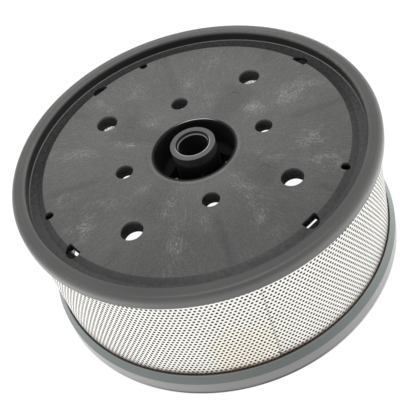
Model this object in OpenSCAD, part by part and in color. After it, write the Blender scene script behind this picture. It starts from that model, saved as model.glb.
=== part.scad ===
// Strainer drum of a centrifugal juicer: a band of perforated sheet held between a moulded base and a
// moulded mouth ring. The drum stands on its mouth with the base up. Its axis is Z, and the origin is the
// centre of the mouth's lower face. All sizes are in millimetres.

/* [Drum] */
// Largest diameter, round the mouth ring
drum_d = 165; // [135:0.5:200]
// Height from the mouth's lower face to the top of the rim
drum_h = 68; // [54:0.5:90]

/* [Screen] */
// Thickness of the perforated sheet
sheet_t = 0.5; // [0.3:0.1:0.8]
// How far the sheet's outer face stands inside the largest radius
screen_inset = 2.9; // [2.6:0.1:4]
// Spacing of the holes along a row
hole_pitch = 5; // [4:0.5:8]
// Diameter of a hole in the sheet
hole_d = 2.4; // [1:0.1:3]
// Plain sheet between the edge of a seat and the nearest row's centres
row_margin = 2.2; // [1.6:0.1:5]
// Direction of the seam, anticlockwise from +X
seam_a = 275.5; // [0:0.5:360]
// Play of the sheet between the walls of its seats
seat_play = 0.1; // [0.05:0.05:0.2]

/* [Mouth ring] */
// Height of the ring's outer lip
ring_h = 10.7; // [10:0.1:14]
// Height of the straight band below the ring's outer cone
ring_band_h = 7.1; // [4:0.1:9]
// Depth of the seat that carries the sheet, below the top of the outer lip
ring_seat_depth = 4.5; // [2:0.1:6]
// How far the ring's inner wall stands above the outer lip
ring_inner_rise = 0.9; // [0:0.1:0.9]
// Thickness of the ring's inner wall
ring_inner_t = 2; // [1.2:0.1:4]
// Open gap between the sheet and the outer lip
ring_gap = 0.4; // [0.2:0.1:0.8]
// Width of the outer lip's top
ring_lip_w = 0.7; // [0.5:0.1:0.9]
// Rounding of the lower outer edge
ring_round = 1; // [0.4:0.1:2]
// Chamfer of the lower inner edge
ring_chamfer = 0.6; // [0.2:0.1:1]

/* [Rim] */
// How far the rim's outer face stands inside the largest radius
rim_inset = 0.3; // [0:0.1:0.8]
// Width of the rim from its outer face to its inner wall
rim_w = 6.2; // [5.6:0.1:8]
// Height of the rim's outer skirt
skirt_h = 5.6; // [4.5:0.1:9]
// Thickness of the rim above the sheet's upper edge
rim_roof = 2.7; // [2:0.1:3.5]
// Thickness of the spigot inside the sheet
spigot_t = 2.6; // [1.6:0.1:3.4]
// How far the spigot reaches below the skirt
spigot_reach = 4.9; // [3:0.1:8]
// Rounding of the rim's outer top edge
rim_round = 2.4; // [0.6:0.1:2.6]
// Rounding of the rim's inner top edge
rim_edge = 0.6; // [0.2:0.1:1.2]

/* [Base plate] */
// Depth of the plate's face below the top of the rim
face_drop = 3.5; // [2.5:0.1:6]
// Thickness of the plate
plate_t = 2.5; // [2:0.1:4]
// Width of the channel inside the rim
channel_w = 4.2; // [2:0.1:8]
// Depth of the channel below the face
channel_depth = 1.4; // [0.6:0.1:1.7]
// Width of the slope between the face and the channel
slope_w = 3; // [1:0.1:6]
// Thickness of the radial ribs underneath
rib_t = 1.8; // [1:0.1:3]
// Height of the ribs below the plate
rib_h = 4; // [2:0.1:6]

/* [Hub] */
// Diameter of the hub tube
hub_d = 20; // [17.6:0.1:25]
// Diameter of the bore
bore_d = 13.4; // [10:0.1:14.8]
// Diameter of the bore's mouth
bore_mouth_d = 15.2; // [15:0.1:17]
// Depth of the bore's mouth
bore_mouth_h = 0.5; // [0.2:0.1:2]
// Height of the cone between the mouth and the bore
bore_cone_h = 1; // [0.5:0.1:3]
// How far the hub reaches below the floor of the well
hub_tail = 2.8; // [1:0.1:10]
// Diameter of the well's mouth round the hub
well_d = 36.6; // [32:0.1:44]
// Depth of the well below the face
well_depth = 13; // [8:0.1:16]
// How much the well's radius shrinks down to its floor
well_draft = 1; // [0:0.1:2]
// Thickness of the well's wall
well_wall = 2.4; // [1.6:0.1:4]
// Thickness of the well's floor
well_floor_t = 2.2; // [1.6:0.1:5]
// Rounding of the well's lip
well_lip = 1.3; // [0.4:0.1:2]
// Thickness of the four gussets in the well
gusset_t = 1.2; // [0.8:0.1:3]
// Height of a gusset above the floor of the well
gusset_h = 6.7; // [4:0.1:8]
// Distance of a gusset's toe from the foot of the well's wall
gusset_toe = 0.6; // [0.3:0.1:2]
// Width of the drain slot under a gusset
drain_w = 4; // [3:0.1:5]
// Distance of the drain slot's outer end from the foot of the well's wall
drain_end = 1.8; // [1:0.1:2.5]
// Distance of the drain slot from the fillet at the hub's foot
drain_gap = 0.3; // [0.1:0.1:1]

/* [Mounting holes] */
// Circle of the four large holes
large_pcd = 98; // [90:1:102]
// Diameter of a large hole
large_d = 10; // [6:0.1:12]
// Circle of the four small holes
small_pcd = 64; // [60:1:72]
// Diameter of a small hole
small_d = 8; // [5:0.1:10]
// Wall round a hole underneath
boss_wall = 2.2; // [1.2:0.1:3]
// Height of the wall below the plate
boss_h = 4; // [2:0.1:6]
// Depth from the face to the hole's narrower end
hole_step_depth = 4.7; // [1:0.1:5.5]
// Narrowing of the hole's radius there
hole_step = 0.2; // [0.1:0.05:0.4]

/* [Edge pockets] */
// Diameter of the round side of a pocket
pocket_d = 7.6; // [6:0.1:8.4]
// Distance of the pocket's centre inside the face's edge
pocket_inset = 0.4; // [0:0.1:3]
// Distance from the pocket's centre to its flat side
pocket_flat = 1; // [0:0.1:2]
// Depth of the pocket below the face
pocket_depth = 2.7; // [1.8:0.1:3.2]
// Thickness of the pocket's floor
pocket_floor = 1.4; // [1:0.1:2]
// Thickness of the wall round the pocket underneath
pocket_wall = 1.5; // [1:0.1:2]
// Width of the slit through the pocket's floor along its flat side
slit_w = 1.8; // [0.8:0.1:2.4]
// Diameter of a balance drilling
drilling_d = 4; // [2:0.1:5]
// Depth of a balance drilling
drilling_depth = 5; // [2:0.1:6]
// Distance of a drilling's centre inside the face's edge
drilling_inset = 0.5; // [0:0.1:4]

/* [Hidden] */
$fn = 180;
fine_fn = 32;
eps = 0.05;
overlap = 1;

spokes = 4;
spoke_step = 360 / spokes;
diagonal_a = spoke_step / 2;
pocket_a = 30;
drilling_angles = [99.3, 189.3, 325.8];
drilling_wall = 1.5;
drilling_floor = 1.2;
pin_mark_r = 35.7;
pin_mark_d = 5;
pin_mark_depth = 0.15;
small_edge = 0.3;
fillet_r = 0.8;

drum_r = drum_d / 2;
screen_r = drum_r - screen_inset;
screen_in_r = screen_r - sheet_t;
seat_in_r = screen_in_r - seat_play;

ring_groove_r = screen_r + ring_gap;
ring_lip_r = ring_groove_r + ring_lip_w;
ring_in_r = seat_in_r - ring_inner_t;
ring_seat_z = ring_h - ring_seat_depth;
ring_inner_z = ring_h + ring_inner_rise;

rim_r = drum_r - rim_inset;
rim_in_r = rim_r - rim_w;
rim_groove_r = screen_r + seat_play;
spigot_in_r = seat_in_r - spigot_t;
skirt_z = drum_h - skirt_h;
roof_z = drum_h - rim_roof;
spigot_z = skirt_z - spigot_reach;

face_z = drum_h - face_drop;
under_z = face_z - plate_t;
channel_z = face_z - channel_depth;
channel_r = rim_in_r - channel_w;
face_r = channel_r - slope_w;
slope_a = atan(channel_depth / slope_w);
kink = plate_t * tan(slope_a / 2);
core_z = (under_z + channel_z) / 2;

hub_r = hub_d / 2;
bore_z = drum_h - bore_mouth_h - bore_cone_h;
well_r = well_d / 2;
well_floor_r = well_r - well_draft;
floor_z = face_z - well_depth;
floor_under_z = floor_z - well_floor_t;
hub_z = floor_under_z - hub_tail;
drain_r = hub_r + fillet_r + drain_gap;
drain_l = well_floor_r - drain_end - drain_r;
gusset_r = well_floor_r - gusset_toe;

pocket_r = face_r - pocket_inset;
pocket_under_z = face_z - pocket_depth - pocket_floor;
drilling_r = face_r - drilling_inset;

holes_round = round(PI * 2 * screen_r / hole_pitch);
flats = 2 * holes_round;
flat_a = 360 / flats;
row_pitch = 2 * screen_r * sin(flat_a) * sin(60);
open_h = skirt_z - ring_h - 2 * row_margin;
rows = floor(open_h / row_pitch) + 1;
first_row_z = ring_h + row_margin + (open_h - (rows - 1) * row_pitch) / 2;

// Outer corner of radius r, pointing up and to the right, to be taken off a section
module corner_cut(r) {
  difference() {
    translate([-r, -r]) square(r + eps);
    translate([-r, -r]) circle(r, $fn = fine_fn);
  }
}

// Fillet of radius r, to be added in an inner corner that is open up and to the right
module corner_fill(r) {
  difference() {
    translate([-eps, -eps]) square(r + eps);
    translate([r, r]) circle(r, $fn = fine_fn);
  }
}

// Copies its children to the four spokes, the first one at angle a
module on_spokes(a = 0) {
  for (i = [0 : spokes - 1]) rotate(a + i * spoke_step) children();
}

// Rim with its skirt, its spigot and the groove between them that seats the sheet
module rim_section() {
  difference() {
    union() {
      translate([rim_in_r, skirt_z]) square([rim_w, skirt_h]);
      translate([spigot_in_r, spigot_z]) square([spigot_t, core_z - spigot_z]);
    }
    translate([seat_in_r, skirt_z - eps]) square([rim_groove_r - seat_in_r, roof_z - skirt_z + eps]);
    translate([rim_r, drum_h]) corner_cut(rim_round);
    translate([rim_in_r, drum_h]) mirror([1, 0]) corner_cut(rim_edge);
    translate([rim_r, skirt_z]) mirror([0, 1]) corner_cut(small_edge);
    translate([spigot_in_r, spigot_z]) mirror([1, 0]) mirror([0, 1]) corner_cut(small_edge);
  }
}

// Plate from the well to the seat of the sheet, stepping down into the channel
module plate_section() {
  polygon([
    [well_r, face_z], [face_r, face_z], [channel_r, channel_z], [seat_in_r, channel_z],
    [seat_in_r, channel_z - plate_t], [channel_r - kink, channel_z - plate_t],
    [face_r - kink, under_z], [well_r, under_z]
  ]);
  translate([rim_in_r, channel_z]) mirror([1, 0]) corner_fill(small_edge);
}

// Drafted well with a rounded lip and a filleted floor
module well_section() {
  difference() {
    polygon([
      [hub_r - eps, floor_z], [well_floor_r, floor_z], [well_r, face_z - well_lip], [well_r, face_z],
      [well_r + well_wall, face_z], [well_r + well_wall, under_z],
      [well_floor_r + well_wall, floor_under_z], [hub_r - eps, floor_under_z]
    ]);
    translate([well_r, face_z]) mirror([1, 0]) corner_cut(well_lip);
  }
  translate([well_floor_r, floor_z]) mirror([1, 0]) corner_fill(fillet_r);
}

// Hub tube with the stepped mouth of its bore
module hub_section() {
  difference() {
    translate([bore_d / 2, hub_z]) square([hub_r - bore_d / 2, drum_h - hub_z]);
    polygon([
      [bore_d / 2 - eps, bore_z], [bore_d / 2, bore_z],
      [bore_mouth_d / 2, drum_h - bore_mouth_h], [bore_mouth_d / 2, drum_h + eps],
      [bore_d / 2 - eps, drum_h + eps]
    ]);
    translate([hub_r, drum_h]) corner_cut(small_edge);
    translate([hub_r, hub_z]) mirror([0, 1]) corner_cut(fillet_r);
  }
  translate([hub_r, floor_z]) corner_fill(fillet_r);
  translate([hub_r, floor_under_z]) mirror([0, 1]) corner_fill(fillet_r);
}

// Everything of the base that is round about the axis
module base_revolve() {
  rotate_extrude() {
    rim_section();
    plate_section();
    well_section();
    hub_section();
  }
}

// Stepped hole through the plate and its wall, its mouth at the face
module stepped_hole(d) {
  translate([0, 0, face_z - hole_step_depth]) cylinder(d = d, h = hole_step_depth + eps);
  translate([0, 0, under_z - boss_h - eps]) cylinder(d = d - 2 * hole_step, h = plate_t + boss_h + eps);
}

// Wall round a hole below the plate
module boss(d) {
  translate([0, 0, under_z - boss_h]) cylinder(d = d + 2 * boss_wall, h = core_z - under_z + boss_h);
}

// Radial rib below the plate from radius r to the spigot
module rib(r) {
  translate([r, -rib_t / 2, under_z - rib_h]) cube([spigot_in_r + eps - r, rib_t, core_z - under_z + rib_h]);
}

// Upright gusset between the hub and the floor of the well
module gusset() {
  translate([0, gusset_t / 2, 0]) rotate([90, 0, 0]) linear_extrude(gusset_t)
    polygon([
      [hub_r - overlap, floor_z - eps], [gusset_r, floor_z - eps], [gusset_r, floor_z],
      [hub_r, floor_z + gusset_h], [hub_r - overlap, floor_z + gusset_h]
    ]);
}

// Round prism as wide as an edge pocket, limited to the strip of width w along the pocket's flat side
module pocket_cut(w, bottom_z) {
  translate([pocket_r, 0, bottom_z]) intersection() {
    cylinder(d = pocket_d, h = face_z - bottom_z + eps);
    translate([-pocket_flat, -pocket_d / 2, 0]) cube([w, pocket_d, face_z - bottom_z + eps]);
  }
}

// Pocket across the edge of the face, with a flat side towards the axis and a slit through its floor
module edge_pocket() {
  pocket_cut(pocket_d, face_z - pocket_depth);
  pocket_cut(slit_w, pocket_under_z - eps);
}

// Wall and floor below the plate that hold an edge pocket
module pocket_boss() {
  translate([pocket_r, 0, pocket_under_z])
    cylinder(d = pocket_d + 2 * pocket_wall, h = core_z - pocket_under_z);
}

// Wall and floor below the plate that hold a blind drilling
module drilling_boss() {
  bottom_z = face_z - drilling_depth - drilling_floor;
  translate([drilling_r, 0, bottom_z]) cylinder(d = drilling_d + 2 * drilling_wall, h = core_z - bottom_z);
}

module base_moulding() {
  color("dimgray") difference() {
    union() {
      difference() {
        base_revolve();
        on_spokes() translate([drain_r, -drain_w / 2, floor_under_z - eps])
          cube([drain_l, drain_w, well_floor_t + 2 * eps]);
      }
      on_spokes() gusset();
      on_spokes() rib(well_r + well_wall / 2);
      on_spokes(diagonal_a) rib(large_pcd / 2);
      on_spokes() translate([small_pcd / 2, 0, 0]) boss(small_d);
      on_spokes(diagonal_a) translate([large_pcd / 2, 0, 0]) boss(large_d);
      on_spokes(pocket_a) pocket_boss();
      for (a = drilling_angles) rotate(a) drilling_boss();
    }
    on_spokes() translate([small_pcd / 2, 0, 0]) stepped_hole(small_d);
    on_spokes(diagonal_a) translate([large_pcd / 2, 0, 0]) stepped_hole(large_d);
    on_spokes(pocket_a) edge_pocket();
    for (a = drilling_angles)
      rotate(a) translate([drilling_r, 0, face_z - drilling_depth])
        cylinder(d = drilling_d, h = drilling_depth + eps);
    on_spokes(diagonal_a) translate([pin_mark_r, 0, face_z - pin_mark_depth])
      cylinder(d = pin_mark_d, h = pin_mark_depth + eps);
  }
}

// Outline of the rolled sheet: one flat for each column of holes, at distance r from the axis
function flat_ring(r) = [
  for (i = [0 : flats - 1])
    let (a = (i + 0.5) * flat_a, corner_r = r / cos(flat_a / 2))
      [corner_r * cos(a), corner_r * sin(a)]
];

// Holes of one row, in every second flat, leaving the flat at the seam plain
module hole_row(shift) {
  for (i = [0 : holes_round - 1])
    if (i + shift > 0)
      rotate((2 * i + shift) * flat_a) translate([screen_in_r - overlap, 0, 0]) rotate([0, 90, 0])
        cylinder(d = hole_d, h = sheet_t + 2 * overlap, $fn = fine_fn);
}

module screen() {
  color("silver") rotate(seam_a) difference() {
    translate([0, 0, ring_seat_z]) linear_extrude(roof_z - ring_seat_z) difference() {
      polygon(flat_ring(screen_r));
      polygon(flat_ring(screen_in_r));
    }
    for (j = [0 : rows - 1]) translate([0, 0, first_row_z + j * row_pitch]) hole_row(j % 2);
  }
}

module mouth_ring() {
  color("lightslategray") rotate_extrude() difference() {
    polygon([
      [ring_in_r, ring_chamfer], [ring_in_r + ring_chamfer, 0], [drum_r, 0], [drum_r, ring_band_h],
      [ring_lip_r, ring_h - small_edge], [ring_lip_r - small_edge, ring_h], [ring_groove_r, ring_h],
      [ring_groove_r, ring_seat_z], [seat_in_r, ring_seat_z], [seat_in_r, ring_inner_z],
      [ring_in_r, ring_inner_z]
    ]);
    translate([drum_r, 0]) mirror([0, 1]) corner_cut(ring_round);
    translate([ring_in_r, ring_inner_z]) mirror([1, 0]) corner_cut(small_edge);
  }
}

base_moulding();
screen();
mouth_ring();
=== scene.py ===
# %% [markdown]
# # The strainer drum of a juicer
# The drum stands on its open mouth, with the closed base up. It has three pieces: a dark grey moulded base,
# a band of perforated stainless sheet, and a grey moulded ring round the mouth. The two mouldings come from
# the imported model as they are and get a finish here. The sheet is made here, because its holes are far too
# many for an exact solid model.

# %% Load the fixed frame
import math
from types import SimpleNamespace

import bmesh
import bpy
from mathutils import Matrix, Vector


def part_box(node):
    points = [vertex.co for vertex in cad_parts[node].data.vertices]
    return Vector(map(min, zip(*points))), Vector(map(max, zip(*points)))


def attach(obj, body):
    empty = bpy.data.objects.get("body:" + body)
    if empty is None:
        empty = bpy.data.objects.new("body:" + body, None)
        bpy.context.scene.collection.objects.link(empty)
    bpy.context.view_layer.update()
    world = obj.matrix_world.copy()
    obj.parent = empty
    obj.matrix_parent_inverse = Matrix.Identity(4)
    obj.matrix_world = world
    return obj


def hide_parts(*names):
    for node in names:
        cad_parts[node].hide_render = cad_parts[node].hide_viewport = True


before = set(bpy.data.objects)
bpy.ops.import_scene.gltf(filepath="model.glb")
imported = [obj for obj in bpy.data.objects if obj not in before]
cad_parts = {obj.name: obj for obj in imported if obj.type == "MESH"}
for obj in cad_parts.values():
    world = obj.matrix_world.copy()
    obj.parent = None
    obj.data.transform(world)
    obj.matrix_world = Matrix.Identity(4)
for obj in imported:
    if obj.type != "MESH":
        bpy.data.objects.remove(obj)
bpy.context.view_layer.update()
MM = 0.001

# %% [markdown]
# ## The camera
# A camera was fitted to the rings, the hole circles and the sheet's lattice in the picture. It looks down on
# the base from the front at about 45 degrees, and it is rolled to one side, so the drum leans in the frame.
# The picture was cropped off centre, and the lens shift gives that crop.

# %% Camera
PHOTO_PX = 412
FOCAL_PX = 896.1
AXIS_PX = Vector((239.3, 161.3))
CAMERA_AT = Vector((1.4, -285.8, 332.4)) * MM
AIMED_AT = Vector((16.3, -19.8, 68.0)) * MM
CAMERA_ROLL = math.radians(-16.2)
SENSOR_MM = 36.0

camera_data = bpy.data.cameras.new("camera")
camera_data.sensor_width = SENSOR_MM
camera_data.lens = FOCAL_PX / PHOTO_PX * SENSOR_MM
camera_data.shift_x = (PHOTO_PX / 2 - AXIS_PX.x) / PHOTO_PX
camera_data.shift_y = (AXIS_PX.y - PHOTO_PX / 2) / PHOTO_PX
camera_data.clip_start = 0.01
camera = bpy.data.objects.new("camera", camera_data)
level_turn = (AIMED_AT - CAMERA_AT).to_track_quat("-Z", "Y").to_matrix()
camera_turn = level_turn @ Matrix.Rotation(CAMERA_ROLL, 3, "Z")
camera.matrix_world = Matrix.Translation(CAMERA_AT) @ camera_turn.to_4x4()
bpy.context.scene.collection.objects.link(camera)
bpy.context.scene.camera = camera
print("lens in mm:", round(camera_data.lens, 1))
print("lens shift:", round(camera_data.shift_x, 3), round(camera_data.shift_y, 3))

# %% [markdown]
# ## Helpers for node trees
# A node tree reads best as a list of short lines. One helper adds a node and fills its sockets, where a
# socket takes either a plain value or another node's output.


# %% Node helpers
def add_node(tree, kind, inputs=None, **settings):
    """Adds a node, sets its settings, and fills sockets by name or number."""
    node = tree.nodes.new(kind)
    for name, value in settings.items():
        setattr(node, name, value)
    for key, value in (inputs or {}).items():
        if isinstance(value, bpy.types.NodeSocket):
            tree.links.new(value, node.inputs[key])
        else:
            node.inputs[key].default_value = value
    return node


def maths(tree, operation, *values, clamp=False):
    """A Math node's output."""
    inputs = dict(enumerate(values))
    return add_node(tree, "ShaderNodeMath", inputs, operation=operation, use_clamp=clamp).outputs[0]


def add_sockets(tree, direction, sockets):
    """Adds a group's inputs or outputs from (name, kind, default) rows."""
    for name, kind, default in sockets:
        socket = tree.interface.new_socket(name, in_out=direction, socket_type=kind)
        if default is not None:
            socket.default_value = default


# %% [markdown]
# ## The perforated sheet
# The real sheet is punched flat, in rows staggered by 60 degrees, then cut to a strip, rolled up and joined
# along one upright seam. The same steps are followed here. One small tile holds a single hole and its share
# of the sheet on both sides. Tiles laid side by side meet edge to edge, so a whole strip is one closed skin.
# A six-sided hole keeps a tile at 28 triangles, and thousands of them stay light. Two more tiles close the
# strip's long edges. The two lowest rows are filled with dirt on the real drum. They have no holes here, and
# the steel's finish paints them, which also keeps the piece under 200,000 triangles.

# %% Sizes of the sheet
screen_low, screen_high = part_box("screen")
SHEET_T = 0.5 * MM
HOLES_ROUND = 250
ROWS = 28
HOLE_D = 1.15 * MM
# one hole of the fitted lattice: its angle, its height and its row, counted from the lowest open row
HOLE_AT = math.radians(263.14)
HOLE_Z = 35.2 * MM
HOLE_ROW = 12
SEAM_AT = math.radians(275.5)
# how far the sheet steps in at the lap, and over how many columns it comes out again
LAP_STEP = 0.22 * MM
LAP_RUN = 9.0
WELD_DISTANCE = 0.01 * MM
# keeps the sheet a hair inside the model's box
BOX_MARGIN = 1e-4

sheet_r = screen_high.x / (1 + BOX_MARGIN)
pitch = 2 * math.pi * sheet_r / HOLES_ROUND
row_rise = pitch * math.sin(math.radians(60))
first_row_z = HOLE_Z - HOLE_ROW * row_rise
# the hexagon has the round hole's area
corner_r = HOLE_D / 2 * math.sqrt(math.pi / (1.5 * math.sqrt(3)))
column_angle = 2 * math.pi / HOLES_ROUND
start_angle = HOLE_AT % column_angle
seam_column = math.floor((SEAM_AT - start_angle) / column_angle) + 0.5
last_row_z = first_row_z + (ROWS - 1) * row_rise
print("sheet radius in mm:", round(sheet_r / MM, 2))
print("pitch and row rise in mm:", round(pitch / MM, 3), round(row_rise / MM, 3))
print("rows from", round(first_row_z / MM, 2), "to", round(last_row_z / MM, 2), "mm")


# %% Tiles of the sheet
def hole_corner(cx, cy, k):
    """Corner k of the hole at (cx, cy). Corner 0 points to 30 degrees."""
    angle = math.radians(30 + 60 * k)
    return (cx + corner_r * math.cos(angle), cy + corner_r * math.sin(angle))


def make_tile(name, faces, walls):
    """A mesh with each face on both sides of the sheet, and a wall through it along each edge."""
    mesh = bpy.data.meshes.new(name)
    tile = bmesh.new()
    for face in faces:
        tile.faces.new([tile.verts.new((x, y, 0)) for x, y in face])
        tile.faces.new([tile.verts.new((x, y, -SHEET_T)) for x, y in reversed(face)])
    for (ax, ay), (bx, by) in walls:
        corners = [(ax, ay, 0), (bx, by, 0), (bx, by, -SHEET_T), (ax, ay, -SHEET_T)]
        tile.faces.new([tile.verts.new(corner) for corner in corners])
    tile.to_mesh(mesh)
    tile.free()
    return bpy.data.objects.new(name, mesh)


here = (0, 0)
right = (pitch, 0)
up_right = (pitch / 2, row_rise)
up_left = (-pitch / 2, row_rise)
C = hole_corner
side_face = [C(*here, 5), C(*right, 3), C(*right, 2), C(*here, 0)]
upper_faces = [
    [C(*here, 0), C(*up_right, 4), C(*up_right, 3), C(*here, 1)],
    [C(*here, 1), C(*up_left, 5), C(*up_left, 4), C(*here, 2)],
    [C(*here, 0), C(*right, 2), C(*up_right, 4)],
    [C(*here, 1), C(*up_right, 3), C(*up_left, 5)],
]
hole_walls = [(C(*here, k), C(*here, (k + 1) % 6)) for k in range(6)]
top_rise = screen_high.z - last_row_z
low_drop = screen_low.z - first_row_z
top_edge = [(0, top_rise), (pitch, top_rise)]
low_edge = [(0, low_drop), (pitch, low_drop)]
top_face = [C(*here, 1), C(*here, 0), C(*right, 2), C(*right, 1), top_edge[1], top_edge[0]]
low_face = [low_edge[0], low_edge[1], C(*right, 4), C(*right, 3), C(*here, 5), C(*here, 4)]

hole_tile = make_tile("hole_tile", [side_face, *upper_faces], hole_walls)
top_tile = make_tile("top_tile", [side_face, top_face], [*hole_walls, tuple(top_edge)])
low_tile = make_tile("low_tile", [low_face], [tuple(reversed(low_edge))])
print("faces in a tile:", [len(t.data.polygons) for t in (hole_tile, top_tile, low_tile)])

# %% [markdown]
# ## Laying and rolling the sheet
# Geometry Nodes lay the tiles. A tile's index gives its column and its row, every second row moves half a
# pitch, and all the tiles become one mesh. Then the strip is rolled: the distance along it becomes an angle,
# and the distance from it becomes a radius. Rolling comes before welding, so the strip's two ends weld as
# well. At the seam the sheet steps in by part of its thickness, as the outer end laps over the inner one,
# and the holes there are narrowed, because the two ends' holes don't line up.

# %% Geometry nodes of the sheet
SHEET_INPUTS = [
    ("Hole tile", "NodeSocketObject", None),
    ("Top tile", "NodeSocketObject", None),
    ("Low tile", "NodeSocketObject", None),
    ("Holes round", "NodeSocketInt", HOLES_ROUND),
    ("Rows", "NodeSocketInt", ROWS),
    ("Pitch", "NodeSocketFloat", pitch),
    ("Row rise", "NodeSocketFloat", row_rise),
    ("First row", "NodeSocketFloat", first_row_z),
    ("Radius", "NodeSocketFloat", sheet_r),
    ("Start angle", "NodeSocketFloat", 0.0),
    ("Seam column", "NodeSocketFloat", 0.0),
    ("Seam reach", "NodeSocketFloat", 0.25),
    ("Seam narrowing", "NodeSocketFloat", 0.45),
    ("Lap step", "NodeSocketFloat", LAP_STEP),
    ("Lap run", "NodeSocketFloat", LAP_RUN),
    ("Material", "NodeSocketMaterial", None),
]


def sheet_tree():
    """The node tree that lays, rolls and welds the sheet."""
    tree = bpy.data.node_groups.new("rolled_sheet", "GeometryNodeTree")
    add_sockets(tree, "INPUT", SHEET_INPUTS)
    add_sockets(tree, "OUTPUT", [("Geometry", "NodeSocketGeometry", None)])
    given = tree.nodes.new("NodeGroupInput").outputs
    index = add_node(tree, "GeometryNodeInputIndex").outputs[0]

    def lay(tile, count, row):
        """Instances of a tile on count points in rows."""
        column = maths(tree, "FLOORED_MODULO", index, given["Holes round"])
        shift = maths(tree, "MULTIPLY", maths(tree, "FLOORED_MODULO", row, 2.0), 0.5)
        x = maths(tree, "MULTIPLY", maths(tree, "ADD", column, shift), given["Pitch"])
        y = maths(tree, "MULTIPLY_ADD", row, given["Row rise"], given["First row"])
        place = add_node(tree, "ShaderNodeCombineXYZ", {"X": x, "Y": y}).outputs[0]
        points = add_node(tree, "GeometryNodePoints", {"Count": count, "Position": place}).outputs[0]
        shape = add_node(tree, "GeometryNodeObjectInfo", {"Object": given[tile]}).outputs["Geometry"]
        placed = {"Points": points, "Instance": shape}
        return add_node(tree, "GeometryNodeInstanceOnPoints", placed).outputs[0]

    last_row = maths(tree, "SUBTRACT", given["Rows"], 1.0)
    full_count = maths(tree, "MULTIPLY", given["Holes round"], last_row)
    full_row = maths(tree, "FLOOR", maths(tree, "DIVIDE", index, given["Holes round"]))
    laid = [
        lay("Hole tile", full_count, full_row),
        lay("Top tile", given["Holes round"], last_row),
        lay("Low tile", given["Holes round"], 0.0),
    ]
    joined = add_node(tree, "GeometryNodeJoinGeometry")
    for instances in laid:
        tree.links.new(instances, joined.inputs[0])
    flat = add_node(tree, "GeometryNodeRealizeInstances", {"Geometry": joined.outputs[0]}).outputs[0]

    position = add_node(tree, "GeometryNodeInputPosition").outputs[0]
    split = add_node(tree, "ShaderNodeSeparateXYZ", {0: position}).outputs
    along = maths(tree, "DIVIDE", split["X"], given["Pitch"])
    from_seam = maths(tree, "SUBTRACT", along, given["Seam column"])
    near = maths(tree, "LESS_THAN", maths(tree, "ABSOLUTE", from_seam), given["Seam reach"])
    narrow = maths(tree, "SUBTRACT", 1.0, maths(tree, "MULTIPLY", near, given["Seam narrowing"]))
    along = maths(tree, "MULTIPLY_ADD", from_seam, narrow, given["Seam column"])
    turn = maths(tree, "DIVIDE", along, given["Holes round"])
    angle = maths(tree, "MULTIPLY_ADD", turn, 2 * math.pi, given["Start angle"])
    past = maths(tree, "SUBTRACT", 1.0, maths(tree, "DIVIDE", from_seam, given["Lap run"]), clamp=True)
    behind = maths(tree, "GREATER_THAN", from_seam, 0.0)
    step = maths(tree, "MULTIPLY", maths(tree, "MULTIPLY", past, behind), given["Lap step"])
    radius = maths(tree, "SUBTRACT", maths(tree, "ADD", given["Radius"], split["Z"]), step)
    rolled_place = add_node(tree, "ShaderNodeCombineXYZ", {
        "X": maths(tree, "MULTIPLY", radius, maths(tree, "COSINE", angle)),
        "Y": maths(tree, "MULTIPLY", radius, maths(tree, "SINE", angle)),
        "Z": split["Y"],
    }).outputs[0]
    moved = {"Geometry": flat, "Position": rolled_place}
    rolled = add_node(tree, "GeometryNodeSetPosition", moved).outputs[0]
    merged = {"Geometry": rolled, "Distance": WELD_DISTANCE}
    welded = add_node(tree, "GeometryNodeMergeByDistance", merged).outputs[0]
    real = add_node(tree, "GeometryNodeRealizeInstances", {"Geometry": welded}).outputs[0]
    finished = {"Geometry": real, "Material": given["Material"]}
    dressed = add_node(tree, "GeometryNodeSetMaterial", finished).outputs[0]
    output = tree.nodes.new("NodeGroupOutput")
    tree.links.new(dressed, output.inputs[0])
    return tree


# %% [markdown]
# ## Shared effects
# Both mouldings have the same fine grain from the mould, so one node group makes it. Another group turns a
# place on the drum into an angle, a radius and a height, because rubbed marks, grime and dirt follow those.
# A third gives the distance from a ring of equal holes. All three read the object's own coordinates.


# %% Polar place group
def polar_group():
    """Object position to radius and angle about Z, and height."""
    tree = bpy.data.node_groups.new("place_about_axis", "ShaderNodeTree")
    add_sockets(tree, "OUTPUT", [
        ("Radius mm", "NodeSocketFloat", None),
        ("Angle deg", "NodeSocketFloat", None),
        ("Height mm", "NodeSocketFloat", None),
    ])
    place = add_node(tree, "ShaderNodeTexCoord").outputs["Object"]
    split = add_node(tree, "ShaderNodeSeparateXYZ", {0: place}).outputs
    across = maths(tree, "ADD", maths(tree, "POWER", split["X"], 2.0), maths(tree, "POWER", split["Y"], 2.0))
    radius = maths(tree, "DIVIDE", maths(tree, "SQRT", across), MM)
    angle = maths(tree, "MULTIPLY", maths(tree, "ARCTAN2", split["Y"], split["X"]), 180 / math.pi)
    output = tree.nodes.new("NodeGroupOutput")
    tree.links.new(radius, output.inputs["Radius mm"])
    tree.links.new(angle, output.inputs["Angle deg"])
    tree.links.new(maths(tree, "DIVIDE", split["Z"], MM), output.inputs["Height mm"])
    return tree


# %% Group helper
def add_group(tree, group, inputs=None):
    """A node that places a node group."""
    return add_node(tree, "ShaderNodeGroup", inputs, node_tree=group).outputs


polar = polar_group()


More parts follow.
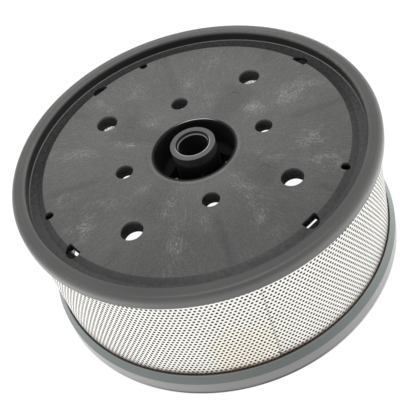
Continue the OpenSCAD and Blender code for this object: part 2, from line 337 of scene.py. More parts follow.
# %% Distance group
def distance_group():
    """Distance in mm from the nearest of some equal holes spaced evenly on a circle."""
    tree = bpy.data.node_groups.new("distance_from_holes", "ShaderNodeTree")
    add_sockets(tree, "INPUT", [
        ("First angle", "NodeSocketFloat", 0.0),
        ("Step", "NodeSocketFloat", 90.0),
        ("Circle mm", "NodeSocketFloat", 32.0),
    ])
    add_sockets(tree, "OUTPUT", [("Distance mm", "NodeSocketFloat", None)])
    given = tree.nodes.new("NodeGroupInput").outputs
    place = add_group(tree, polar)
    half_step = maths(tree, "MULTIPLY", given["Step"], 0.5)
    turn = maths(tree, "SUBTRACT", place["Angle deg"], given["First angle"])
    turn = maths(tree, "WRAP", turn, half_step, maths(tree, "MULTIPLY", half_step, -1.0))
    turn = maths(tree, "RADIANS", turn)
    out = maths(tree, "MULTIPLY", place["Radius mm"], maths(tree, "COSINE", turn))
    out = maths(tree, "SUBTRACT", out, given["Circle mm"])
    aside = maths(tree, "MULTIPLY", place["Radius mm"], maths(tree, "SINE", turn))
    squares = maths(tree, "MULTIPLY_ADD", out, out, maths(tree, "MULTIPLY", aside, aside))
    distance = maths(tree, "SQRT", squares)
    output = tree.nodes.new("NodeGroupOutput")
    tree.links.new(distance, output.inputs[0])
    return tree


# %% Moulded grain group
def grain_group():
    """Fine mould grain: a value round 0.5 for colour and roughness, and a height for bump."""
    tree = bpy.data.node_groups.new("moulded_grain", "ShaderNodeTree")
    add_sockets(tree, "INPUT", [("Cloud mm", "NodeSocketFloat", 18.0), ("Grain mm", "NodeSocketFloat", 0.5)])
    add_sockets(tree, "OUTPUT", [("Cloud", "NodeSocketFloat", None), ("Height", "NodeSocketFloat", None)])
    given = tree.nodes.new("NodeGroupInput").outputs
    place = add_node(tree, "ShaderNodeTexCoord").outputs["Object"]

    def noise_of(size, detail):
        """Noise with features of a size in mm."""
        scale = maths(tree, "DIVIDE", 1 / MM, size)
        inputs = {"Vector": place, "Scale": scale, "Detail": detail}
        return add_node(tree, "ShaderNodeTexNoise", inputs).outputs[0]

    output = tree.nodes.new("NodeGroupOutput")
    tree.links.new(noise_of(given["Cloud mm"], 4.0), output.inputs["Cloud"])
    tree.links.new(noise_of(given["Grain mm"], 2.0), output.inputs["Height"])
    return tree


from_holes = distance_group()
grain = grain_group()


# %% [markdown]
# ## Finishes
# Each finish is one Principled shader. Its colour is built up as a painter would: a ground colour with a
# faint cloud in it, and then masks that lay wear, grime, dirt, painted shade and painted highlights over it.
# A mask is 0 or 1 with a soft edge, and it is made from the place about the axis, so it follows the
# moulding's own rings and spokes.


# %% Material helper
def new_material(name, **shader):
    """A material with a Principled BSDF and its plain values. Gives the material, its tree and the shader."""
    material = bpy.data.materials.new(name)
    material.use_nodes = True
    tree = material.node_tree
    bsdf = next(node for node in tree.nodes if node.type == "BSDF_PRINCIPLED")
    for socket, value in shader.items():
        bsdf.inputs[socket.replace("_", " ")].default_value = value
    return material, tree, bsdf


def mixed(tree, factor, a, b):
    """Colour a where factor is 0 and b where it is 1."""
    inputs = {"Factor": factor, "A": a, "B": b}
    return add_node(tree, "ShaderNodeMix", inputs, data_type="RGBA").outputs["Result"]


def grain_normal(tree, fine):
    """The normal that the mould grain gives."""
    inputs = {"Height": fine["Height"], "Strength": 0.12, "Distance": 0.05 * MM}
    return add_node(tree, "ShaderNodeBump", inputs).outputs[0]


# %% Mask helpers
def ramp(tree, value, start, end):
    """0 before start and 1 past end, smooth between. The end may lie below the start."""
    inputs = {"Value": value, "From Min": start, "From Max": end}
    return add_node(tree, "ShaderNodeMapRange", inputs, interpolation_type="SMOOTHSTEP").outputs["Result"]


def band(tree, value, low, high, soft):
    """1 between low and high, falling to 0 over soft on both sides."""
    return maths(tree, "MULTIPLY", ramp(tree, value, low - soft, low), ramp(tree, value, high + soft, high))


def product(tree, *factors):
    """All factors multiplied."""
    result = factors[0]
    for factor in factors[1:]:
        result = maths(tree, "MULTIPLY", result, factor)
    return result


def strongest(tree, *masks):
    """The highest of some masks."""
    result = masks[0]
    for mask in masks[1:]:
        result = maths(tree, "MAXIMUM", result, mask)
    return result


def away_from(tree, angle, centre, half_turn=180.0):
    """The angle from a centre in degrees, which repeats every two half turns."""
    return maths(tree, "WRAP", maths(tree, "SUBTRACT", angle, centre), half_turn, -half_turn)


def noise(tree, vector, size, detail=2.0, roughness=0.5):
    """Noise of a vector, with features of a size in the vector's own unit."""
    inputs = {"Vector": vector, "Scale": 1 / size, "Detail": detail, "Roughness": roughness}
    return add_node(tree, "ShaderNodeTexNoise", inputs).outputs[0]


def object_place(tree):
    """The object's own coordinates."""
    return add_node(tree, "ShaderNodeTexCoord").outputs["Object"]


# %% [markdown]
# ### Landmarks of the base
# The masks are set by height and by distance from the axis, so the moulding's landmarks are named once, in
# millimetres, as the polar group gives a place. The rim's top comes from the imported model.

# %% Landmarks of the base
RIM_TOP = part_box("base_moulding")[1].z / MM
FACE_Z = RIM_TOP - 3.5
CHANNEL_Z = FACE_Z - 1.4
WELL_FLOOR_Z = FACE_Z - 13.0
RIM_R = 82.2
RIM_IN_R = 76.0
FACE_R = 68.8
WELL_R = 18.3
HUB_R = 10.0
BORE_MOUTH_R = 7.6
BORE_R = 6.7
print("face at", round(FACE_Z, 2), "mm, channel at", round(CHANNEL_Z, 2), "mm")

# %% [markdown]
# ### The base's rubbed patches
# The face was rubbed pale in patches that run outwards from the hub. Each patch below is a soft spot at an
# angle and a radius, and fine radial streaks and specks break the spots up.

# %% Rubbed patches group
# angle and half angle in degrees, radius and half radius in mm, strength
PATCHES = [
    (17, 6, 52, 14, 0.8), (24, 6, 33, 6, 0.9), (65, 7, 30, 6, 0.6), (69, 3.5, 55, 10, 0.7),
    (81, 4, 44, 6, 0.5), (110, 4, 51, 5, 0.8), (120, 8, 30, 4, 0.7), (126, 3, 57, 7, 0.6),
    (150, 2.5, 32, 7, 0.9), (158, 3, 56, 9, 0.8), (185, 3.5, 59, 5, 0.8), (200, 6, 49, 6, 0.9),
    (204, 6, 62, 6, 0.9), (208, 4, 33, 6, 0.7), (238, 6, 33, 7, 0.8), (249, 5, 55, 13, 0.8),
    (263, 3, 42, 6, 0.4), (289, 4, 54, 9, 0.9), (297, 6, 36, 10, 0.7), (328, 4, 60, 8, 1.0),
    (328, 5, 35, 6, 0.8), (342, 6, 51, 6, 1.0),
]


# how fine the streaks are round the hub, and how little they change outwards
STREAK_FINENESS = 60.0
STREAK_STRETCH = 0.12


def patches_group():
    """How rubbed the face is, from 0 to 1, and the fine specks and streaks."""
    tree = bpy.data.node_groups.new("rubbed_patches", "ShaderNodeTree")
    add_sockets(tree, "OUTPUT", [("Rubbed", "NodeSocketFloat", None), ("Specks", "NodeSocketFloat", None)])
    place = add_group(tree, polar)
    total = None
    for angle, half_angle, radius, half_radius, strength in PATCHES:
        turn = away_from(tree, place["Angle deg"], angle)
        turn = maths(tree, "POWER", maths(tree, "DIVIDE", turn, half_angle), 2.0)
        out = maths(tree, "DIVIDE", maths(tree, "SUBTRACT", place["Radius mm"], radius), half_radius)
        away = maths(tree, "MULTIPLY_ADD", out, out, turn)
        spot = maths(tree, "MULTIPLY", maths(tree, "EXPONENT", maths(tree, "MULTIPLY", away, -1.0)), strength)
        total = spot if total is None else maths(tree, "ADD", total, spot)
    turn = maths(tree, "RADIANS", place["Angle deg"])
    stretched = add_node(tree, "ShaderNodeCombineXYZ", {
        "X": maths(tree, "MULTIPLY", maths(tree, "COSINE", turn), STREAK_FINENESS),
        "Y": maths(tree, "MULTIPLY", maths(tree, "SINE", turn), STREAK_FINENESS),
        "Z": maths(tree, "MULTIPLY", place["Radius mm"], STREAK_STRETCH),
    }).outputs[0]
    streaks = ramp(tree, noise(tree, stretched, 0.55, 3.0, 0.6), 0.50, 0.72)
    specks = ramp(tree, noise(tree, object_place(tree), 0.7 * MM, 3.0, 0.7), 0.50, 0.64)
    drift = ramp(tree, noise(tree, object_place(tree), 7 * MM, 3.0, 0.6), 0.36, 0.62)
    output = tree.nodes.new("NodeGroupOutput")
    tree.links.new(maths(tree, "MULTIPLY", total, drift, clamp=True), output.inputs["Rubbed"])
    tree.links.new(maths(tree, "MAXIMUM", specks, streaks), output.inputs["Specks"])
    return tree


rubbed_patches = patches_group()

# %% [markdown]
# ### Painted shade in the base's hollows
# Everything that lies deep is painted dark as shade: the holes, the edge pockets, the well with the hub's
# side, and the bore. One group tells how deep in a hollow a place lies.

# %% Hollows group
# first angle and step in degrees, circle and radius in mm, darkening
HOLLOWS = [
    (0.0, 90.0, 32.0, 4.1, 0.75),
    (45.0, 90.0, 49.0, 5.1, 0.75),
    (30.0, 90.0, 68.4, 3.9, 0.97),
    (99.3, 360.0, 68.3, 2.1, 0.97),
    (189.3, 360.0, 68.3, 2.1, 0.97),
    (325.8, 360.0, 68.3, 2.1, 0.97),
]


def shade_in_well_and_hub(tree, radius, height):
    """Painted shade in the well, on the hub's side, in the bore's mouth and in the bore."""
    hub_side = band(tree, radius, HUB_R - 0.1, HUB_R + 0.06, 0.02)
    hub_side = product(tree, hub_side, ramp(tree, height, RIM_TOP - 0.2, RIM_TOP - 0.6), 0.9)
    well = band(tree, radius, HUB_R - 0.1, WELL_R + 0.2, 0.1)
    well = product(tree, well, band(tree, height, WELL_FLOOR_Z - 0.3, FACE_Z - 1.4, 0.7))
    bore = ramp(tree, radius, BORE_R + 0.1, BORE_R + 0.02)
    bore = product(tree, bore, ramp(tree, height, RIM_TOP - 1.4, RIM_TOP - 1.7))
    mouth = ramp(tree, radius, BORE_MOUTH_R + 0.1, BORE_MOUTH_R - 0.05)
    mouth = product(tree, mouth, ramp(tree, height, RIM_TOP, RIM_TOP - 0.15), 0.93)
    return strongest(tree, hub_side, well, bore, mouth)


def hollows_group():
    """Painted shade: 1 deep in a hollow of the base and 0 on its open surfaces."""
    tree = bpy.data.node_groups.new("hollow_shade", "ShaderNodeTree")
    add_sockets(tree, "OUTPUT", [("Hollow", "NodeSocketFloat", None)])
    place = add_group(tree, polar)
    # the well, the hub's side, the bore's mouth and the bore are painted dark as shade
    total = shade_in_well_and_hub(tree, place["Radius mm"], place["Height mm"])
    below_face = ramp(tree, place["Height mm"], FACE_Z - 0.1, FACE_Z - 1.9)
    scuffs = ramp(tree, noise(tree, object_place(tree), 0.8 * MM, 2.0, 0.6), 0.50, 0.66)
    scuffed = maths(tree, "MULTIPLY_ADD", scuffs, -0.22, 1.0)
    # the holes and the edge pockets are painted dark as shade, with lighter scuffs
    for first, step, circle, hole_r, darkening in HOLLOWS:
        inputs = {"First angle": first, "Step": step, "Circle mm": circle}
        inside = ramp(tree, add_group(tree, from_holes, inputs)[0], hole_r + 0.05, hole_r)
        total = strongest(tree, total, product(tree, inside, below_face, darkening, scuffed))
    output = tree.nodes.new("NodeGroupOutput")
    tree.links.new(total, output.inputs[0])
    return tree


hollow_shade = hollows_group()
print("hollows in the table:", len(HOLLOWS))

# %% [markdown]
# ### The base's grime, painted shade and painted highlights
# The base is dark grey satin plastic. Grime and painted shade sit in its corners, and painted highlights lie
# on its edges. A few of these masks also turn with the angle, so that the near side, the far side of the
# channel and the far rim have the tones of the picture: the near side and the far side of the channel are
# painted darker as shade, and the far rim carries painted light. They are fixed to the drum and stay with it
# when it is seen from elsewhere.


# %% Places on the base
def base_places(tree):
    """A place on the base: radius, angle and height, and masks of the regions that others build on."""
    place = add_group(tree, polar)
    at = SimpleNamespace(radius=place["Radius mm"], angle=place["Angle deg"], height=place["Height mm"])
    face_ring = band(tree, at.radius, WELL_R + 0.7, FACE_R - 0.2, 0.4)
    at.on_face = product(tree, face_ring, ramp(tree, at.height, FACE_Z - 0.3, FACE_Z - 0.1))
    at.up_side = ramp(tree, at.height, CHANNEL_Z - 0.4, CHANNEL_Z - 0.2)
    at.sine = maths(tree, "SINE", maths(tree, "RADIANS", at.angle))
    at.to_back = ramp(tree, at.sine, -0.35, 0.35)
    at.to_front = maths(tree, "SUBTRACT", 1.0, at.to_back)
    return at


# %% Grime on the face
# angle of the first sink line in degrees, and the radius in mm from which the lines show
SINK_LINES = [(0.0, 38.0), (45.0, 55.5)]


def face_marks_and_lip_shade(tree, at):
    """Darker sink lines outside the holes, darker wedges between them, and painted shade round the well: a
    thin dark line and its rounded lip.
    """
    lines = []
    for first, start in SINK_LINES:
        turn = maths(tree, "RADIANS", away_from(tree, at.angle, first, 45.0))
        aside = maths(tree, "ABSOLUTE", maths(tree, "MULTIPLY", turn, at.radius))
        shown = ramp(tree, at.radius, start, start + 8)
        lines.append(product(tree, ramp(tree, aside, 3.2, 0.0), shown, 0.13, at.on_face))
    turn = maths(tree, "ABSOLUTE", away_from(tree, at.angle, 45.0, 45.0))
    wedge = product(tree, ramp(tree, turn, 20.0, 6.0), band(tree, at.radius, 21.0, 40.0, 5.0))
    wedge = product(tree, wedge, 0.16, at.on_face)
    # a thin dark line of painted shade round the well, and painted shade on the well's rounded lip
    lip_line = product(tree, band(tree, at.radius, WELL_R + 3.2, WELL_R + 3.5, 0.25), 0.12, at.on_face)
    lip = band(tree, at.height, FACE_Z - 1.3, FACE_Z + 1.5, 0.2)
    lip = product(tree, ramp(tree, at.radius, WELL_R + 1.3, WELL_R + 0.6), lip, 0.88)
    return strongest(tree, maths(tree, "ADD", strongest(tree, *lines), wedge), lip_line, lip)


def front_shade(tree, at):
    """The near half of the base, which is dimmer in the picture."""
    frontmost = ramp(tree, at.sine, -0.6, -0.95)
    share = maths(tree, "MULTIPLY_ADD", frontmost, 0.20, maths(tree, "MULTIPLY", at.to_front, 0.18))
    return product(tree, share, ramp(tree, at.radius, 15.0, 58.0), ramp(tree, at.height, 50.0, 52.0))


# %% Grime on the rim
def rim_rings_and_shade(tree, at):
    """Fine turned rings on the rim's top, and grime with painted shade on the slope, in the channel and on
    the rim's wall, darker on the far side.
    """
    turned_inputs = {"W": at.radius, "Scale": 2.4, "Detail": 2.0}
    turned = add_node(tree, "ShaderNodeTexNoise", turned_inputs, noise_dimensions="1D").outputs[0]
    rings = band(tree, at.radius, RIM_IN_R + 0.3, RIM_R - 0.6, 0.3)
    rings = product(tree, rings, ramp(tree, at.height, RIM_TOP - 1.5, RIM_TOP - 1.0))
    rings = product(tree, rings, ramp(tree, turned, 0.46, 0.62), 0.4)
    scuffs = ramp(tree, noise(tree, object_place(tree), 1.5 * MM, 3.0, 0.7), 0.35, 0.65)
    # grime and painted shade on the slope and in the channel, painted darker on the far side
    slope = product(tree, band(tree, at.radius, FACE_R + 0.2, RIM_IN_R - 0.1, 0.2), at.up_side)
    slope = product(tree, slope, ramp(tree, at.height, RIM_TOP - 1.4, RIM_TOP - 1.8))
    slope_share = maths(tree, "MULTIPLY_ADD", at.to_back, 0.27, 0.56)
    slope = product(tree, slope, maths(tree, "MULTIPLY_ADD", scuffs, -0.14, slope_share))
    # painted shade on the rim's wall, darker on the far side
    wall = band(tree, at.radius, RIM_IN_R - 0.4, RIM_IN_R + 0.4, 0.2)
    wall = product(tree, wall, band(tree, at.height, CHANNEL_Z + 0.4, RIM_TOP - 2.0, 1.7))
    wall = product(tree, wall, maths(tree, "MULTIPLY_ADD", at.to_back, 0.5, 0.4))
    return strongest(tree, rings, slope, wall)


def painted_rim_light(tree, at):
    """Painted light that makes the upright skirt paler all round and the far side of the rim's top paler."""
    # painted light on the upright skirt and on the far side of the rim's top
    skirt = product(tree, ramp(tree, at.radius, RIM_R - 0.6, RIM_R), 0.30)
    top = ramp(tree, at.radius, RIM_IN_R + 1.0, RIM_IN_R + 2.5)
    top = product(tree, top, ramp(tree, at.height, RIM_TOP - 1.5, RIM_TOP - 0.5))
    return strongest(tree, skirt, product(tree, top, ramp(tree, at.sine, 0.2, 1.0), 0.5))


# %% Glints of the base
FAR_LIP_AT = 75.0


def glints(tree, at):
    """Painted highlights: thin pale lines at the well's lip, at the bore's mouth and at the foot of the rim's
    wall.
    """
    # painted highlights at the well's lip, in the bore and at the foot of the rim's wall
    turn = maths(tree, "ABSOLUTE", maths(tree, "SUBTRACT", at.angle, FAR_LIP_AT))
    far_lip = band(tree, at.radius, WELL_R + 0.2, WELL_R + 0.6, 0.15)
    far_lip = product(tree, far_lip, ramp(tree, turn, 38.0, 8.0), 0.7)
    near_ring = product(tree, band(tree, at.radius, WELL_R + 1.5, WELL_R + 2.0, 0.4), at.to_front, 0.06)
    lip = strongest(tree, far_lip, near_ring)
    lip = product(tree, lip, ramp(tree, at.height, FACE_Z - 1.1, FACE_Z - 0.8))
    edge = band(tree, at.radius, BORE_MOUTH_R, BORE_MOUTH_R + 0.2, 0.1)
    edge = product(tree, edge, at.to_front, 0.7, ramp(tree, at.height, RIM_TOP - 0.6, RIM_TOP - 0.3))
    ring = band(tree, at.radius, BORE_R - 0.02, BORE_R + 0.25, 0.08)
    ring = product(tree, ring, ramp(tree, at.height, RIM_TOP - 1.8, RIM_TOP - 1.6), at.to_back, 0.28)
    foot = band(tree, at.radius, RIM_IN_R - 0.8, RIM_IN_R - 0.4, 0.15)
    foot = product(tree, foot, ramp(tree, at.height, CHANNEL_Z + 0.9, CHANNEL_Z + 0.6), at.up_side)
    return strongest(tree, edge, ring, lip, product(tree, foot, at.to_back, 0.25))


# %% Base plastic
def base_plastic():
    """Dark grey satin plastic with rubbed patches, grime and painted shade in the corners, and painted
    highlights on the edges.
    """
    material, tree, bsdf = new_material("base_plastic", Specular_IOR_Level=0.25)
    at = base_places(tree)
    fine = add_group(tree, grain)
    patches = add_group(tree, rubbed_patches)

    speck_share = maths(tree, "MULTIPLY_ADD", patches["Specks"], 0.85, 0.08)
    pale = product(tree, patches["Rubbed"], speck_share, at.on_face)
    pale = maths(tree, "ADD", pale, product(tree, patches["Specks"], at.on_face, 0.20))
    # the dark mask holds grime and painted shade: on the face, on the near half, on the rim and in the
    # hollows
    dark = maths(tree, "ADD", face_marks_and_lip_shade(tree, at), front_shade(tree, at))
    dark = strongest(tree, dark, rim_rings_and_shade(tree, at), add_group(tree, hollow_shade)[0])

    colour = mixed(tree, fine["Cloud"], (0.089, 0.091, 0.088, 1), (0.119, 0.121, 0.117, 1))
    colour = mixed(tree, pale, colour, (0.34, 0.34, 0.33, 1))
    # painted light on the skirt and on the far side of the rim's top
    colour = mixed(tree, painted_rim_light(tree, at), colour, (0.20, 0.20, 0.19, 1))
    colour = mixed(tree, dark, colour, (0.004, 0.004, 0.004, 1))
    # painted highlights on the edges
    colour = mixed(tree, glints(tree, at), colour, (0.55, 0.55, 0.54, 1))
    tree.links.new(colour, bsdf.inputs["Base Color"])
    rough = maths(tree, "MULTIPLY_ADD", pale, 0.25, maths(tree, "MULTIPLY_ADD", fine["Cloud"], 0.12, 0.32))
    rough = maths(tree, "MAXIMUM", rough, maths(tree, "MULTIPLY", dark, 1.1, clamp=True))
    tree.links.new(rough, bsdf.inputs["Roughness"])
    tree.links.new(grain_normal(tree, fine), bsdf.inputs["Normal"])
    return material


# %% [markdown]
# ### The mouth ring and the sheet
# The ring is a lighter grey moulding. Its cone is greener than its upright band and painted darker as shade,
# its lip carries a painted highlight, and its foot and its inside carry painted shade. The sheet is bright
# metal. The punched walls of its holes are painted dark as shade, a yellow stain runs down near the seam, and
# dirt has filled its two lowest rows and rusted the edge above the ring. Painted shade from the gap above the
# ring darkens that edge too.

# %% Ring plastic
RING_H = 10.7
RING_CONE_Z = 7.0
RING_GROOVE_R = 80.0


def ring_plastic():
    """Grey satin plastic of the mouth ring: a greener cone painted darker as shade, a painted highlight on
    its lip, and painted shade on its foot and inside.
    """
    material, tree, bsdf = new_material("ring_plastic", Roughness=0.34)
    place = add_group(tree, polar)
    radius, height = place["Radius mm"], place["Height mm"]
    fine = add_group(tree, grain)
    band_colour = mixed(tree, fine["Cloud"], (0.105, 0.108, 0.103, 1), (0.140, 0.142, 0.136, 1))
    # the cone is a little greener than the band, and painted darker as shade
    cone_shade_colour = mixed(tree, fine["Cloud"], (0.080, 0.094, 0.089, 1), (0.100, 0.114, 0.109, 1))
    on_cone = ramp(tree, height, RING_CONE_Z - 0.3, RING_CONE_Z + 0.3)
    colour = mixed(tree, on_cone, band_colour, cone_shade_colour)
    # painted highlight on the lip
    lip = band(tree, radius, RING_GROOVE_R + 0.3, RING_GROOVE_R + 0.75, 0.2)
    lip = product(tree, lip, ramp(tree, height, RING_H - 0.5, RING_H - 0.2), 0.25)
    colour = mixed(tree, lip, colour, (0.30, 0.33, 0.32, 1))
    # painted shade on the foot and inside the ring
    foot = product(tree, ramp(tree, height, 2.2, 1.5), ramp(tree, radius, 80.5, 81.0), 0.3)
    inside = product(tree, ramp(tree, radius, RING_GROOVE_R + 0.05, RING_GROOVE_R - 0.05), 0.8)
    colour = mixed(tree, strongest(tree, foot, inside), colour, (0.012, 0.014, 0.014, 1))
    tree.links.new(colour, bsdf.inputs["Base Color"])
    tree.links.new(grain_normal(tree, fine), bsdf.inputs["Normal"])
    return material


# %% Walls of the holes
WALL_LOW_R = 79.15
WALL_HIGH_R = 79.55
SEAM_DEG = math.degrees(start_angle + seam_column * column_angle)
print("seam at", round(SEAM_DEG, 2), "degrees")


def hole_walls_mask(tree, radius, angle):
    """1 on the walls of the holes. It follows the sheet where the sheet steps in at the lap."""
    past_seam = away_from(tree, angle, SEAM_DEG)
    lap = maths(tree, "DIVIDE", past_seam, LAP_RUN * math.degrees(column_angle))
    lap = maths(tree, "SUBTRACT", 1.0, lap, clamp=True)
    lap = maths(tree, "MULTIPLY", lap, maths(tree, "GREATER_THAN", past_seam, 0.0))
    rolled_r = maths(tree, "MULTIPLY_ADD", lap, LAP_STEP / MM, radius)
    return band(tree, rolled_r, WALL_LOW_R, WALL_HIGH_R, 0.02)


# %% Rows that dirt has filled
# rows below the lowest open one, and how dark each is
FILLED_ROWS = [(-1, 0.95), (-2, 1.0)]


def filled_rows(tree, angle, height):
    """1 on the filled holes of the two lowest rows."""
    step_deg = math.degrees(column_angle)
    hole_r = HOLE_D / MM / 2
    cells = []
    for row, share in FILLED_ROWS:
        row_start = math.degrees(start_angle + (row % 2) / 2 * column_angle)
        turn = away_from(tree, angle, row_start, step_deg / 2)
        aside = maths(tree, "MULTIPLY", turn, pitch / MM / step_deg)
        rise = maths(tree, "SUBTRACT", height, (first_row_z + row * row_rise) / MM)
        squares = maths(tree, "MULTIPLY_ADD", aside, aside, maths(tree, "MULTIPLY", rise, rise))
        away = maths(tree, "SQRT", squares)
        cells.append(product(tree, ramp(tree, away, hole_r + 0.16, hole_r), share))
    return strongest(tree, *cells)


# %% Sheet steel
STAIN_AT = 266.0
DIRT_TOP_Z = 10.8


def sheet_steel():
    """Bright stainless sheet: punched walls painted dark as shade, a faint stain, and a lower edge darkened
    by dirt and painted shade.
    """
    material, tree, bsdf = new_material("sheet_steel")
    place = add_group(tree, polar)
    radius, angle, height = place["Radius mm"], place["Angle deg"], place["Height mm"]
    fine = add_group(tree, grain, {"Cloud mm": 9.0})
    colour = mixed(tree, fine["Cloud"], (0.62, 0.61, 0.575, 1), (0.70, 0.69, 0.66, 1))
    turn = maths(tree, "ABSOLUTE", away_from(tree, angle, STAIN_AT))
    stain = product(tree, ramp(tree, turn, 16.0, 3.0), ramp(tree, height, 48.0, 26.0), fine["Cloud"], 0.55)
    colour = mixed(tree, stain, colour, (0.62, 0.52, 0.34, 1))
    # the walls of the holes are painted dark as shade
    hole_wall_shade = product(tree, hole_walls_mask(tree, radius, angle), 0.92)
    colour = mixed(tree, hole_wall_shade, colour, (0.04, 0.036, 0.032, 1))
    # dirt, and painted shade from the gap above the ring, darken the lower edge; a rust tint runs above it
    blots = noise(tree, object_place(tree), 1.6 * MM, 2.0, 0.6)
    above_dirt = maths(tree, "SUBTRACT", height, maths(tree, "MULTIPLY_ADD", blots, 2.2, DIRT_TOP_Z))
    dirt_and_gap_shade = ramp(tree, above_dirt, 0.5, -0.3)
    colour = mixed(tree, product(tree, ramp(tree, above_dirt, 3.0, 0.0), 0.35), colour, (0.30, 0.19, 0.11, 1))
    colour = mixed(tree, product(tree, dirt_and_gap_shade, 0.93), colour, (0.055, 0.038, 0.030, 1))
    filled = filled_rows(tree, angle, height)
    colour = mixed(tree, filled, colour, (0.030, 0.018, 0.012, 1))
    dirt_and_gap_shade = strongest(tree, dirt_and_gap_shade, filled)
    tree.links.new(colour, bsdf.inputs["Base Color"])
    tree.links.new(maths(tree, "SUBTRACT", 1.0, dirt_and_gap_shade, clamp=True), bsdf.inputs["Metallic"])
    tree.links.new(maths(tree, "MULTIPLY_ADD", dirt_and_gap_shade, 0.4, 0.34), bsdf.inputs["Roughness"])
    return material


# %% [markdown]
# ## Putting it together
# The mouldings take their finish in their own material slots. The sheet is made by its node tree, turned
# into a plain mesh, and then it stands in for the model's simpler screen.

# %% Dress the mouldings
for node_name, material in (("base_moulding", base_plastic()), ("mouth_ring", ring_plastic())):
    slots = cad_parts[node_name].material_slots
    for slot in slots:
        slot.material = material
    print(node_name, "dressed in", material.name)

# %% Make the sheet
SHARP_FROM = math.radians(65)
modelled = bpy.data.objects.new("sheet_maker", bpy.data.meshes.new("sheet_maker"))
bpy.context.scene.collection.objects.link(modelled)
modifier = modelled.modifiers.new("rolled_sheet", "NODES")
modifier.node_group = sheet_tree()
given_values = {
    "Hole tile": hole_tile,
    "Top tile": top_tile,
    "Low tile": low_tile,
    "Start angle": start_angle,
    "Seam column": seam_column,
    "Material": sheet_steel(),
}
for item in modifier.node_group.interface.items_tree:
    if item.item_type == "SOCKET" and item.in_out == "INPUT" and item.name in given_values:
        modifier[item.identifier] = given_values[item.name]
evaluated = modelled.evaluated_get(bpy.context.evaluated_depsgraph_get())
sheet_mesh = bpy.data.meshes.new_from_object(evaluated)
bpy.data.objects.remove(modelled)
for tile in (hole_tile, top_tile, low_tile):
    bpy.data.objects.remove(tile)
sheet = bpy.data.objects.new("perforated_sheet", sheet_mesh)
bpy.context.scene.collection.objects.link(sheet)
sheet_mesh.shade_smooth()
sheet_mesh.set_sharp_from_angle(angle=SHARP_FROM)
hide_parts("screen")
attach(sheet, "root")
sheet_mesh.calc_loop_triangles()
print("sheet triangles:", len(sheet_mesh.loop_triangles), "corners:", len(sheet_mesh.vertices))

# %% [markdown]
# ## Floor and light
# The picture is a plain studio shot on white. The floor here glows like a light table, so upright walls shine
# brighter than level faces, as in the picture, and it keeps a faint shadow. Under the drum it sheds no soft
# light on the mouldings. To the camera and in reflections it still glows there, apart from its front half and
# a patch behind the well, where the picture shows dark through the sheet and the drain slots. These dim
# places can be seen from above and from the side. A painted contact shadow, a dark line on the floor, marks
# where the foot stands.

# %% Floor
FLOOR_SIZE = 6.0
half = FLOOR_SIZE / 2
floor_mesh = bpy.data.meshes.new("floor")
floor_corners = [(-half, -half, 0), (half, -half, 0), (half, half, 0), (-half, half, 0)]
floor_mesh.from_pydata(floor_corners, [], [(0, 1, 2, 3)])
floor = bpy.data.objects.new("floor", floor_mesh)
bpy.context.scene.collection.objects.link(floor)
print("floor in metres:", FLOOR_SIZE, "square")


# %% Dim places of the floor
CONTACT_AT = -98.0


def painted_contact_shadow(tree, place):
    """Painted contact shadow: the dark line where the foot meets the floor, stronger on the near side."""
    turn = maths(tree, "ABSOLUTE", maths(tree, "SUBTRACT", place["Angle deg"], CONTACT_AT))
    line = product(tree, band(tree, place["Radius mm"], 79.5, 82.4, 0.4), 0.95)
    return product(tree, line, maths(tree, "MULTIPLY_ADD", ramp(tree, turn, 60.0, 15.0), 0.5, 0.5))


def unlit_floor(tree, place, rays):
    """1 where the floor under the drum is without its glow."""
    split = add_node(tree, "ShaderNodeSeparateXYZ", {0: object_place(tree)}).outputs
    under_drum = ramp(tree, place["Radius mm"], 80.0, 79.0)
    front_half = ramp(tree, split["Y"], -4 * MM, -30 * MM)
    beside = band(tree, split["X"], -14 * MM, 14 * MM, 9 * MM)
    past_well = product(tree, beside, band(tree, split["Y"], 42 * MM, 56 * MM, 6 * MM))
    return product(tree, under_drum, strongest(tree, front_half, past_well, rays["Is Diffuse Ray"]))


# %% Floor finish
SHADOW_SHARE = 0.10
FLOOR_GLOW = 1.5
SHOWN_GLOW = 1.05


def floor_white():
    """A glowing white floor that keeps a share of the object's shadow, with a painted contact shadow at the
    foot.
    """
    material, tree, bsdf = new_material("floor_white", Roughness=0.9, Specular_IOR_Level=0.1)
    place = add_group(tree, polar)
    rays = add_node(tree, "ShaderNodeLightPath").outputs
    # a painted contact shadow at the foot, with no glow there
    contact_shadow = painted_contact_shadow(tree, place)
    colour = mixed(tree, contact_shadow, (0.9, 0.9, 0.9, 1), (0.1, 0.1, 0.1, 1))
    tree.links.new(colour, bsdf.inputs["Base Color"])
    unlit = strongest(tree, unlit_floor(tree, place, rays), contact_shadow)
    shadowed = maths(tree, "MULTIPLY", rays["Is Camera Ray"], SHADOW_SHARE)
    lit = product(tree, maths(tree, "SUBTRACT", 1.0, unlit), maths(tree, "SUBTRACT", 1.0, shadowed))
    strength = maths(tree, "MULTIPLY_ADD", rays["Is Camera Ray"], SHOWN_GLOW - FLOOR_GLOW, FLOOR_GLOW)
    glow = add_node(tree, "ShaderNodeEmission", {"Color": (1, 1, 1, 1), "Strength": strength}).outputs[0]
    shown = add_node(tree, "ShaderNodeMixShader", {0: lit, 1: bsdf.outputs[0], 2: glow}).outputs[0]
    surface = next(node for node in tree.nodes if node.type == "OUTPUT_MATERIAL")
    tree.links.new(shown, surface.inputs["Surface"])
    return material


floor_mesh.materials.append(floor_white())

# %% [markdown]
# ### The world
# The world lights the drum evenly and shows white to the camera. In reflections it is bright near the horizon
# and dim overhead, so the level faces stay dark and the upright sheet stays bright.

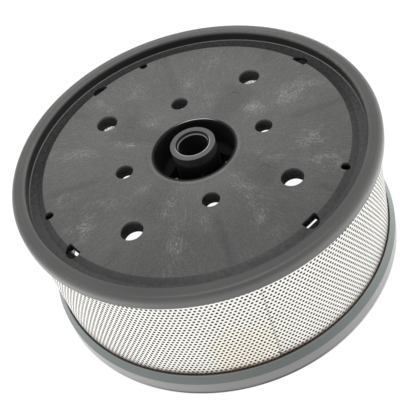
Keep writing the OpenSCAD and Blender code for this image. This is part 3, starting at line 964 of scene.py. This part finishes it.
# %% World
WORLD_LIGHT = 0.35
WORLD_HORIZON = 0.9
WORLD_HIGH = 0.2
world = bpy.data.worlds.new("studio")
world.use_nodes = True
world_tree = world.node_tree
world_shader = next(node for node in world_tree.nodes if node.type == "BACKGROUND")
world_rays = add_node(world_tree, "ShaderNodeLightPath").outputs
looking = add_node(world_tree, "ShaderNodeTexCoord").outputs["Generated"]
looking = add_node(world_tree, "ShaderNodeSeparateXYZ", {0: looking}).outputs
upward = ramp(world_tree, looking["Z"], 0.35, 0.85)
mirrored = maths(world_tree, "MULTIPLY_ADD", upward, WORLD_HIGH - WORLD_HORIZON, WORLD_HORIZON)
mirrored = maths(world_tree, "MULTIPLY", mirrored, world_rays["Is Glossy Ray"])
spread = maths(world_tree, "MULTIPLY", world_rays["Is Diffuse Ray"], WORLD_LIGHT)
world_strength = maths(world_tree, "ADD", mirrored, spread)
world_strength = maths(world_tree, "ADD", world_strength, world_rays["Is Camera Ray"])
world_tree.links.new(world_strength, world_shader.inputs["Strength"])
world_shader.inputs["Color"].default_value = (1, 1, 1, 1)
bpy.context.scene.world = world
print("world light:", WORLD_LIGHT)

# %% [markdown]
# ### Lamps
# Four soft square lamps shape the drum. Only the top one shows in reflections. The other three are kept out
# of them, so they add no highlights of their own.

# %% Lamps
LAMPS_AIM_AT = Vector((0, 0, 0.05))


def softbox(name, place, size, power, mirrored_too=True):
    """A square area lamp aimed at the drum. It may be kept out of reflections."""
    data = bpy.data.lights.new(name, "AREA")
    data.size = size
    data.energy = power
    lamp = bpy.data.objects.new(name, data)
    at = Vector(place)
    turn = (LAMPS_AIM_AT - at).to_track_quat("-Z", "Y").to_matrix().to_4x4()
    lamp.matrix_world = Matrix.Translation(at) @ turn
    lamp.visible_glossy = mirrored_too
    bpy.context.scene.collection.objects.link(lamp)
    return lamp


softbox("top_light", (0.0, 0.05, 0.9), 0.5, 5.0)
softbox("front_light", (-0.4, -0.9, 0.35), 0.6, 4.5, False)
softbox("right_light", (1.0, 0.1, 0.12), 0.3, 18.0, False)
softbox("left_light", (-1.0, 0.0, 0.12), 0.3, 7.0, False)
bpy.context.scene.view_settings.view_transform = "Standard"
